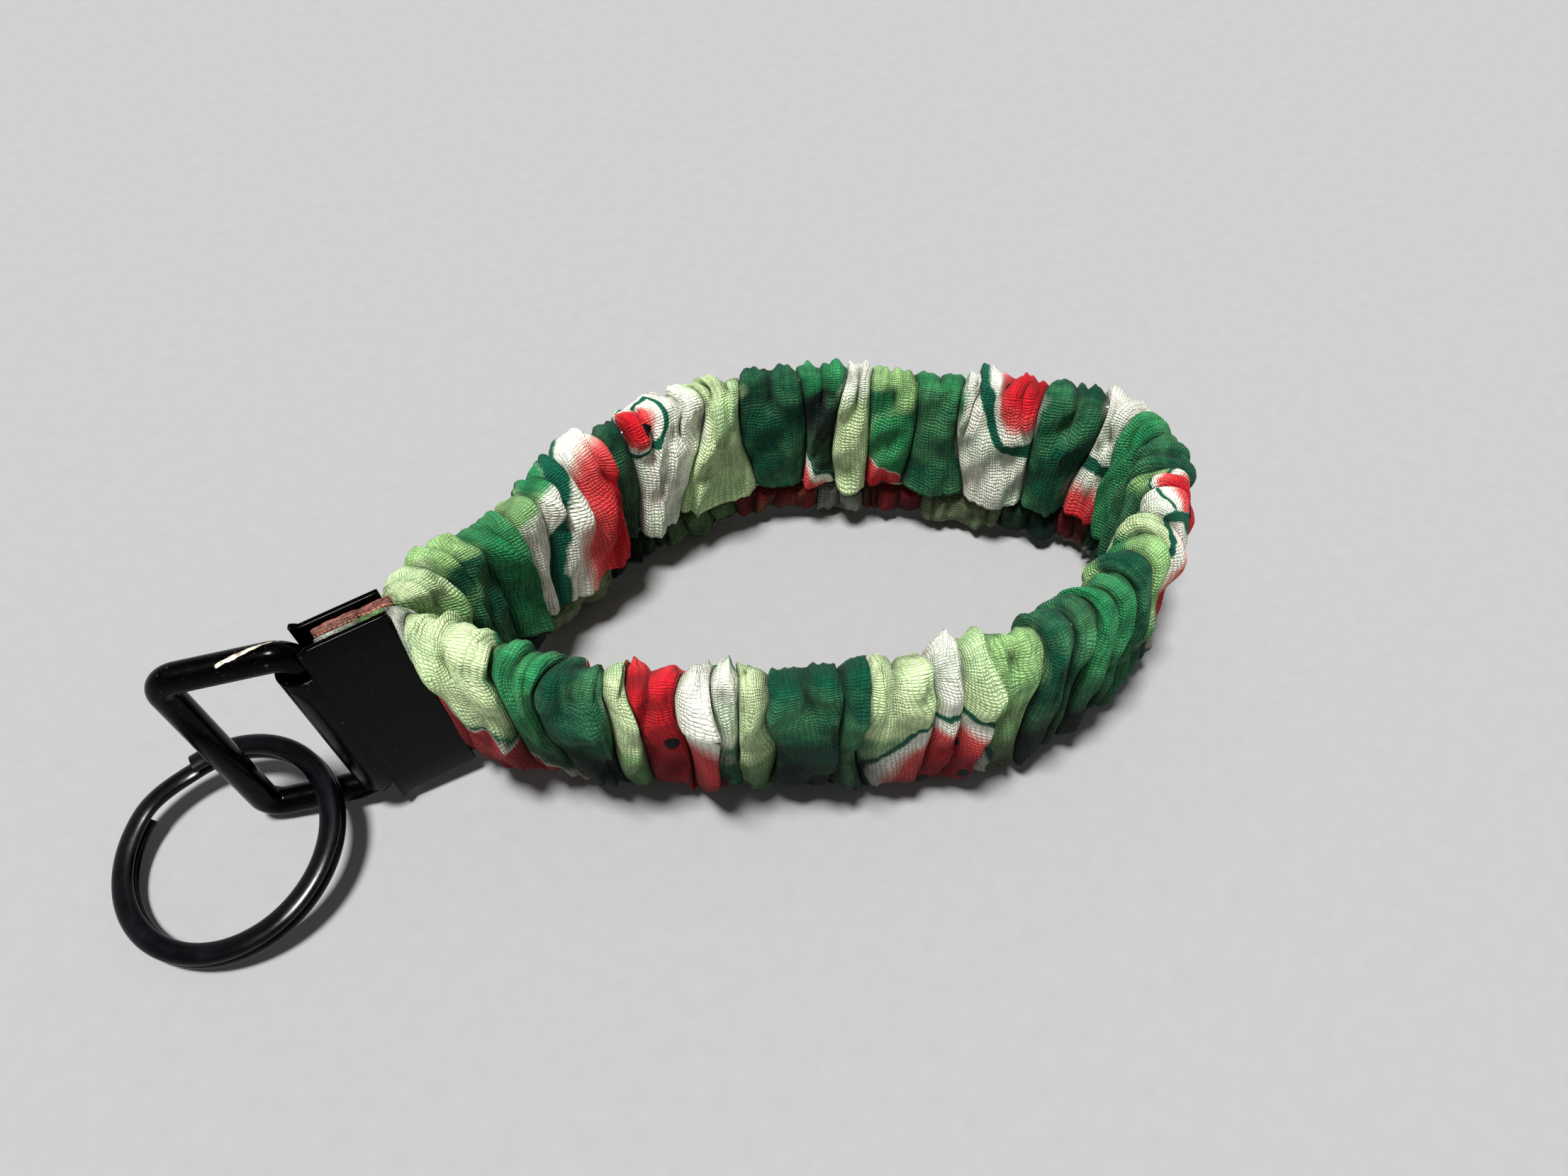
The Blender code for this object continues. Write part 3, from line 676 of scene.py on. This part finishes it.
def printed_slices(graph, ground, distance, place, white, rind):
    """Melon flesh, seeds, white and rind of the given shares of the radius, over the ground."""
    red = 0.97 - rind - white
    flesh = graph.ramp(distance, [
        (0.0, linear(182, 12, 28)), (0.70 * red, linear(206, 34, 44)),
        (red, linear(226, 84, 82)), (red + 0.35 * white, linear(238, 190, 174)),
        (red + 0.55 * white, linear(243, 242, 226)), (red + 0.95 * white, linear(236, 238, 216)),
        (red + white + 0.02, linear(16, 92, 70)), (0.975, linear(12, 84, 64)),
        (1.0, linear(120, 170, 120))])
    drawn_out = graph.node("ShaderNodeVectorMath", {0: place, 1: (1.0, 0.6, 1.0)},
                           operation="MULTIPLY").outputs[0]
    seeds = graph.node("ShaderNodeTexVoronoi", {"Vector": drawn_out, "Scale": 0.28,
                                                "Randomness": 0.8})
    seed = graph.math("LESS_THAN", seeds.outputs["Distance"], 0.19)
    seed = graph.math("MULTIPLY", seed, graph.math("LESS_THAN", distance, 0.62))
    flesh = graph.mix(seed, flesh, linear(26, 20, 20))
    inside = graph.ramp(distance, [(0.0, 1.0), (0.985, 1.0), (1.0, 0.0)])
    return graph.mix(inside, ground, flesh)


def cotton_material(edges):
    """Plain-weave cotton printed with melon slices on a watercolour ground, with painted shade from
    the sleeve's open_to_light attribute and painted shade in the gaps of the weave.
    """
    graph = Graph("printed_cotton")
    place = graph.node("ShaderNodeAttribute", attribute_name="cloth_place").outputs["Vector"]
    ground = graph.node("ShaderNodeAttribute", attribute_name="ground").outputs["Color"]
    warp = graph.noise(place, 0.09, 2.0)
    shifted = graph.node("ShaderNodeVectorMath", {0: warp.outputs["Color"], 1: (0.5, 0.5, 0.5)},
                         operation="SUBTRACT").outputs[0]
    shifted = graph.node("ShaderNodeVectorMath", {0: shifted, 1: (4.0, 4.0, 0.0), 2: place},
                         operation="MULTIPLY_ADD").outputs[0]
    wet = graph.noise(place, 0.40, 4.0, 0.6).outputs["Fac"]
    bleed = graph.math("MULTIPLY_ADD", wet, 0.05, -0.025)
    blot = graph.ramp(wet, [(0.30, 0.66), (0.70, 1.25)])
    pool = graph.ramp(graph.noise(place, 0.13, 3.0, 0.6).outputs["Fac"], [(0.44, 0.0), (0.68, 0.42)])
    dye_and_shade = graph.mix(pool, ground, linear(104, 174, 112))
    dye_and_shade = graph.mix(1.0, dye_and_shade, blot, "MULTIPLY")
    for slices, white, rind in PRINTS:
        distance = graph.math("ADD", slice_distance(graph, shifted, edges, slices), bleed)
        dye_and_shade = printed_slices(graph, dye_and_shade, distance, place, white, rind)
    # Painted shade: darker in the valleys, beside the seam and low on the outer face
    light = graph.node("ShaderNodeAttribute", attribute_name="open_to_light").outputs["Fac"]
    dye_and_shade = graph.mix(1.0, dye_and_shade, light, "MULTIPLY")

    over = weave_pattern(graph, place)
    weave = graph.math("POWER", graph.math("ABSOLUTE", over), 0.8)
    # Painted shade of the weave: darker in the gaps between threads, lighter where a thread passes
    # over
    threads = graph.ramp(weave, [(0.0, 0.72), (0.8, 1.18)])
    slub = graph.ramp(graph.noise(place, 2.2, 2.0).outputs["Fac"], [(0.25, 0.88), (0.75, 1.12)])
    colour = graph.mix(1.0, graph.mix(1.0, dye_and_shade, threads, "MULTIPLY"), slub, "MULTIPLY")
    graph.feed(graph.shader.inputs["Base Color"], colour)
    crumple = graph.noise(place, 0.9, 4.0, 0.6).outputs["Fac"]
    under = graph.bump(crumple, 0.22 * MM)
    graph.feed(graph.shader.inputs["Normal"], graph.bump(weave, 0.13 * MM, 1.0, under))
    graph.shader.inputs["Roughness"].default_value = 0.86
    graph.shader.inputs["Sheen Weight"].default_value = 0.03
    graph.shader.inputs["Specular IOR Level"].default_value = 0.15
    return graph.material


WEAVE_PITCH = 0.39                # threads, in mm of cloth
WEAVE_WANDER = 4.0                # how far threads wander, in radians of their pitch


def weave_pattern(graph, place):
    """Plain weave from -1 to 1: warp and weft threads take turns to pass over one another."""
    axes = graph.node("ShaderNodeSeparateXYZ", {0: place})
    uneven = graph.noise(place, 1.1, 2.0).outputs["Color"]
    uneven = graph.node("ShaderNodeSeparateColor", {0: uneven})
    threads = []
    for axis in (0, 1):
        phase = graph.math("MULTIPLY", axes.outputs[axis], pi / WEAVE_PITCH)
        phase = graph.math("MULTIPLY_ADD", uneven.outputs[axis], WEAVE_WANDER, phase)
        threads.append(graph.math("SINE", phase))
    return graph.math("MULTIPLY", *threads)


def enamel_material(name, bare_box=None):
    """Glossy black enamel with fine orange peel and dust; bare metal inside the bare box."""
    graph = Graph(name)
    place = graph.node("ShaderNodeTexCoord").outputs["Object"]
    peel = graph.noise(place, 900.0, 2.0).outputs["Fac"]
    smear = graph.noise(place, 160.0, 4.0, 0.65).outputs["Fac"]
    dust = graph.noise(place, 2600.0, 1.0).outputs["Fac"]
    rough = graph.ramp(smear, [(0.35, 0.14), (0.70, 0.30)])
    colour = graph.ramp(smear, [(0.30, linear(3, 3, 3)), (0.75, linear(8, 8, 8))])
    specks = graph.ramp(dust, [(0.70, 0.0), (0.78, 1.0)])
    colour = graph.mix(graph.math("MULTIPLY", specks, 0.06), colour, linear(170, 168, 160))
    metal = 0.0
    if bare_box:
        low, high = bare_box
        middle = (low + high) / 2
        local = graph.node("ShaderNodeMapping", {
            "Vector": place, "Location": middle, "Scale": (high - low) / 2}, vector_type="TEXTURE")
        reach = graph.node("ShaderNodeVectorMath", {0: local.outputs[0]}, operation="LENGTH")
        ragged = graph.noise(place, 700.0, 5.0, 0.7).outputs["Fac"]
        edge = graph.math("MULTIPLY_ADD", graph.math("SUBTRACT", ragged, 0.5), 1.5,
                          reach.outputs["Value"])
        chip = graph.ramp(edge, [(0.80, 1.0), (0.88, 0.0)])
        bare = graph.ramp(graph.noise(place, 1500.0, 3.0).outputs["Fac"],
                          [(0.35, linear(150, 138, 122)), (0.65, linear(236, 228, 212))])
        colour = graph.mix(chip, colour, bare)
        rough = graph.mix(chip, rough, (0.55, 0.55, 0.55, 1.0))
        metal = graph.math("MULTIPLY", chip, 0.25)
    graph.feed(graph.shader.inputs["Base Color"], colour)
    graph.feed(graph.shader.inputs["Roughness"], rough)
    graph.feed(graph.shader.inputs["Metallic"], metal)
    graph.shader.inputs["Specular IOR Level"].default_value = 0.07
    graph.feed(graph.shader.inputs["Normal"], graph.bump(peel, 0.012 * MM))
    return graph.material


def ring_material():
    """Black plated spring wire, rubbed along its length."""
    graph = Graph("black_wire")
    place = graph.node("ShaderNodeTexCoord").outputs["Object"]
    smear = graph.noise(place, 240.0, 4.0, 0.6).outputs["Fac"]
    graph.feed(graph.shader.inputs["Base Color"],
               graph.ramp(smear, [(0.30, linear(4, 4, 6)), (0.72, linear(12, 13, 18))]))
    graph.feed(graph.shader.inputs["Roughness"], graph.ramp(smear, [(0.3, 0.14), (0.7, 0.30)]))
    graph.shader.inputs["Specular IOR Level"].default_value = 0.32
    peel = graph.noise(place, 1100.0, 2.0).outputs["Fac"]
    graph.feed(graph.shader.inputs["Normal"], graph.bump(peel, 0.008 * MM))
    return graph.material


def elastic_material():
    """White knitted elastic with ribs along the band."""
    graph = Graph("knitted_elastic")
    place = graph.node("ShaderNodeTexCoord").outputs["Object"]
    axes = graph.node("ShaderNodeSeparateXYZ", {0: place})
    rib = graph.math("SINE", graph.math("MULTIPLY", axes.outputs[2], 2 * pi / (1.1 * MM)))
    knit = graph.noise(place, 1800.0, 2.0).outputs["Fac"]
    height = graph.math("MULTIPLY_ADD", knit, 0.5, rib)
    # Painted shade of the knit: darker in the grooves between the ribs
    graph.feed(graph.shader.inputs["Base Color"],
               graph.ramp(height, [(0.0, linear(196, 196, 188)), (1.0, linear(236, 236, 230))]))
    graph.feed(graph.shader.inputs["Normal"], graph.bump(height, 0.12 * MM))
    graph.shader.inputs["Roughness"].default_value = 0.8
    return graph.material


def thread_material():
    """Pale polyester thread with its twist."""
    graph = Graph("sewing_thread")
    place = graph.node("ShaderNodeTexCoord").outputs["Object"]
    axes = graph.node("ShaderNodeSeparateXYZ", {0: place})
    slant = graph.math("ADD", axes.outputs[0], axes.outputs[2])
    twist = graph.math("SINE", graph.math("MULTIPLY", slant, 2 * pi / (0.3 * MM)))
    # Painted shade of the twist: darker in the grooves of the twist
    graph.feed(graph.shader.inputs["Base Color"],
               graph.ramp(twist, [(0.0, linear(190, 196, 176)), (1.0, linear(226, 228, 212))]))
    graph.feed(graph.shader.inputs["Normal"], graph.bump(twist, 0.04 * MM))
    graph.shader.inputs["Roughness"].default_value = 0.65
    return graph.material


# ---------------------------------------------------------------- hardware

def clamp_profile(parts=40):
    """Middle line of the folded sheet in (u, v): near plate, fold round the pivot, far plate."""
    start = asin(PLATE_MIDDLE / FOLD_RADIUS)
    sweep = 2 * (pi - start)
    plate = np.linspace(CLAMP_REAR, FOLD_RADIUS * cos(start), 9)[:-1]
    fold = []
    for index in range(parts + 1):
        angle = -start - sweep * index / parts
        fold.append((FOLD_RADIUS * cos(angle), FOLD_RADIUS * sin(angle)))
    near = [(u, -PLATE_MIDDLE) for u in plate]
    far = [(u, PLATE_MIDDLE) for u in reversed(plate)]
    return near + fold + far


def make_clamp(look):
    """Folded sheet clamp with rounded edges and a notch at each end of the fold."""
    profile = clamp_profile()
    levels = [0.0, NOTCH_HEIGHT] + [CLAMP_WIDTH * part / 8 for part in range(2, 7)]
    levels += [CLAMP_WIDTH - NOTCH_HEIGHT, CLAMP_WIDTH]
    shape = bmesh.new()
    rows = [[shape.verts.new((u, v, w)) for u, v in profile] for w in levels]
    for row in range(len(levels) - 1):
        for column in range(len(profile) - 1):
            u = (profile[column][0] + profile[column + 1][0]) / 2
            if u < NOTCH_REACH and row in (0, len(levels) - 2):
                continue
            lower, upper = rows[row], rows[row + 1]
            shape.faces.new((lower[column], lower[column + 1], upper[column + 1], upper[column]))
    loose = [vertex for vertex in shape.verts if not vertex.link_faces]
    bmesh.ops.delete(shape, geom=loose, context="VERTS")
    mesh = bpy.data.meshes.new("clamp_shell")
    shape.to_mesh(mesh)
    shape.free()
    mesh.transform(CLAMP_FRAME)
    mesh.materials.append(look)
    clamp = add_piece("clamp_shell", mesh, "strap")
    sheet = clamp.modifiers.new("sheet", "SOLIDIFY")
    sheet.thickness = SHEET
    sheet.offset = 0.0
    sheet.use_even_offset = True
    rounding = clamp.modifiers.new("rounding", "BEVEL")
    rounding.width = 0.14 * MM
    rounding.segments = 3
    rounding.angle_limit = radians(40)
    apply_modifiers(clamp)
    clamp.data.shade_smooth()
    clamp.data.set_sharp_from_angle(angle=radians(50))
    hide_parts("clamp")
    return clamp


CHIP_START, CHIP_END = -6.5 * MM, -0.5 * MM       # along the bail's upper arm
CHIP_DEPTH = 1.2 * MM
CHIP_LOW, CHIP_HIGH = 0.5 * MM, 1.9 * MM          # above the arm's middle


def chip_box():
    """Corners of the box round the bare strip on the bail's upper arm."""
    arm = CLAMP_WIDTH / 2 + BAIL_WIDTH / 2
    low = BAIL_FRAME @ Vector((CHIP_START, -CHIP_DEPTH, arm + CHIP_LOW))
    high = BAIL_FRAME @ Vector((CHIP_END, CHIP_DEPTH, arm + CHIP_HIGH))
    return low, high


def make_bail(look):
    """Bent wire rectangle, its inner bar inside the clamp's fold."""
    corners = [(0.0, -1, 0.0), (0.0, 1, 90.0), (-BAIL_LENGTH, 1, 180.0), (-BAIL_LENGTH, -1, 270.0)]
    points = []
    for u, side, start in corners:
        centre_u = u - BAIL_CORNER if u == 0.0 else u + BAIL_CORNER
        centre_w = CLAMP_WIDTH / 2 + side * (BAIL_WIDTH / 2 - BAIL_CORNER)
        for index in range(13):
            angle = radians(start - 90.0 + 7.5 * index)
            points.append(Vector((centre_u + BAIL_CORNER * cos(angle), 0.0,
                                  centre_w + BAIL_CORNER * sin(angle))))
    dense = []
    for before, after in zip(points, points[1:] + points[:1]):
        count = max(1, round((after - before).length / (0.8 * MM)))
        dense += [before.lerp(after, part / count) for part in range(count)]
    mesh = wire_mesh("bail_wire", [dense], BAIL_WIRE, closed=True, sides=12)
    mesh.transform(BAIL_FRAME)
    dress(mesh, look)
    bail = add_piece("bail_wire", mesh, "bail")
    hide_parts("bail")
    return bail


def ring_height(turned):
    """Height of the flattened wire's middle, one pitch up over the ramp after the first turn."""
    part = min(1.0, max(0.0, (turned - 2 * pi + RING_RAMP / 2) / RING_RAMP))
    return RING_PITCH * (part * part * (3 - 2 * part) - 0.5)


def make_ring(look):
    """Two turns of flattened spring wire with cut ends."""
    flatten = RING_TURN / RING_WIRE
    start = RING_RAMP / 2
    sweep = 4 * pi - 2 * start
    count = 260
    points = []
    for index in range(count + 1):
        turned = start + sweep * index / count
        angle = RING_STEP_ANGLE + turned
        points.append((RING_RADIUS * cos(angle), RING_RADIUS * sin(angle),
                       ring_height(turned) / flatten))
    mesh = wire_mesh("ring_coil", [points], RING_WIRE, sides=10)
    mesh.transform(Matrix.Diagonal((1.0, 1.0, flatten, 1.0)))
    facing = RING_NORMAL.to_track_quat("Z", "Y").to_matrix().to_4x4()
    centre = Vector((CROSSBAR.x, CROSSBAR.y, RING_CENTRE_HEIGHT)) + RING_OFFSET
    mesh.transform(Matrix.Translation(centre) @ facing)
    dress(mesh, look)
    mesh.set_sharp_from_angle(angle=radians(50))
    ring = add_piece("ring_coil", mesh, "ring")
    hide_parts("split_ring")
    return ring


STITCH_PITCH = 2.3 * MM
STITCH_THREAD = 0.28 * MM


def make_seam(look):
    """Row of stitches that closes the sleeve along its pinched seam."""
    start = ROUTE.tab + 4 * MM
    count = int((ROUTE.length - 2 * start) / STITCH_PITCH)
    runs = []
    up = SEAM_HEIGHT - STRAP_HEIGHT / 2
    for index in range(count):
        s = start + (index + np.array([0.05, 0.2, 0.5, 0.8, 0.95])) * STITCH_PITCH
        out = PINCH + np.array([-0.1, 0.12, 0.2, 0.12, -0.1]) * MM
        runs.append(ROUTE.place(s, out, np.full(5, up)).tolist())
    mesh = wire_mesh("seam_stitches", runs, STITCH_THREAD, sides=2)
    dress(mesh, look)
    seam = add_piece("seam_stitches", mesh, "strap")
    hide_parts("seam_thread")
    return seam


# ---------------------------------------------------------------- studio

FLOOR_HALF = 2.4                  # half of the floor's side
FLAT_REACH = 1.2                  # radius of the flat part
SWEEP = 0.9                       # rise beyond it, per square of the distance


def make_floor():
    """Plain pale floor far larger than the view, swept up at its rim."""
    look = Graph("floor")
    place = look.node("ShaderNodeTexCoord").outputs["Object"]
    grain = look.noise(place, 500.0, 3.0).outputs["Fac"]
    shade = look.ramp(grain, [(0.3, linear(151, 151, 151)), (0.7, linear(154, 154, 154))])
    look.feed(look.shader.inputs["Base Color"], shade)
    look.shader.inputs["Roughness"].default_value = 0.9
    look.shader.inputs["Specular IOR Level"].default_value = 0.1
    mesh = bpy.data.meshes.new("floor")
    shape = bmesh.new()
    bmesh.ops.create_grid(shape, x_segments=48, y_segments=48, size=FLOOR_HALF)
    for vertex in shape.verts:
        beyond = max(0.0, vertex.co.xy.length - FLAT_REACH)
        vertex.co.z = SWEEP * beyond ** 2
    shape.to_mesh(mesh)
    shape.free()
    mesh.materials.append(look.material)
    mesh.shade_smooth()
    floor = bpy.data.objects.new("floor", mesh)
    bpy.context.scene.collection.objects.link(floor)


def add_area(name, place, aim, size, watts):
    """Square soft light at place, turned towards aim."""
    data = bpy.data.lights.new(name, "AREA")
    data.shape = "SQUARE"
    data.size = size
    data.energy = watts
    light = bpy.data.objects.new(name, data)
    light.location = place
    facing = Vector(aim) - Vector(place)
    light.rotation_euler = facing.to_track_quat("-Z", "Y").to_euler()
    bpy.context.scene.collection.objects.link(light)


def add_sun(name, place, aim, softness, strength):
    """Soft distant light that shines from place towards aim."""
    data = bpy.data.lights.new(name, "SUN")
    data.angle = softness
    data.energy = strength
    light = bpy.data.objects.new(name, data)
    facing = Vector(aim) - Vector(place)
    light.rotation_euler = facing.to_track_quat("-Z", "Y").to_euler()
    bpy.context.scene.collection.objects.link(light)


AIM = (0.01, 0.0, 0.012)          # what the lights face


def make_studio():
    """Floor, a soft key from above, two weak area lights and a little ambient light."""
    make_floor()
    add_sun("key", (-0.08, -0.04, 0.43), AIM, radians(11), 5.6)
    add_area("top", (0.02, 0.10, 0.50), AIM, 0.40, 0.12)
    add_area("fill", (0.30, -0.45, 0.30), AIM, 0.60, 0.05)
    world = bpy.data.worlds.new("studio")
    world.use_nodes = True
    world.node_tree.nodes["Background"].inputs["Color"].default_value = (0.9, 0.95, 1.0, 1.0)
    world.node_tree.nodes["Background"].inputs["Strength"].default_value = 0.10
    bpy.context.scene.world = world
    bpy.context.scene.view_settings.view_transform = "Standard"


CAMERA_PLACE = Vector((-23.9, -70.4, 107.3)) * MM
CAMERA_TURN = (radians(40.0), 0.0, radians(-27.7))
CAMERA_LENS = 27.67
SENSOR_WIDTH = 36.0


def make_camera():
    """Camera above the near side of the loop, looking down across it."""
    data = bpy.data.cameras.new("camera")
    data.sensor_width = SENSOR_WIDTH
    data.lens = CAMERA_LENS
    data.clip_start = 0.01
    camera = bpy.data.objects.new("camera", data)
    camera.location = CAMERA_PLACE
    camera.rotation_euler = CAMERA_TURN
    bpy.context.scene.collection.objects.link(camera)
    bpy.context.scene.camera = camera


# ---------------------------------------------------------------- scene

ROUTE = Route()
make_camera()
make_studio()
make_sleeve()
enamel = enamel_material("black_enamel")
make_clamp(enamel)
make_bail(enamel_material("chipped_enamel", chip_box()))
make_ring(ring_material())
thread = thread_material()
make_seam(thread)
frame["nodes"]["tack_thread"].data.materials[0] = thread
frame["nodes"]["elastic_band"].data.materials[0] = elastic_material()
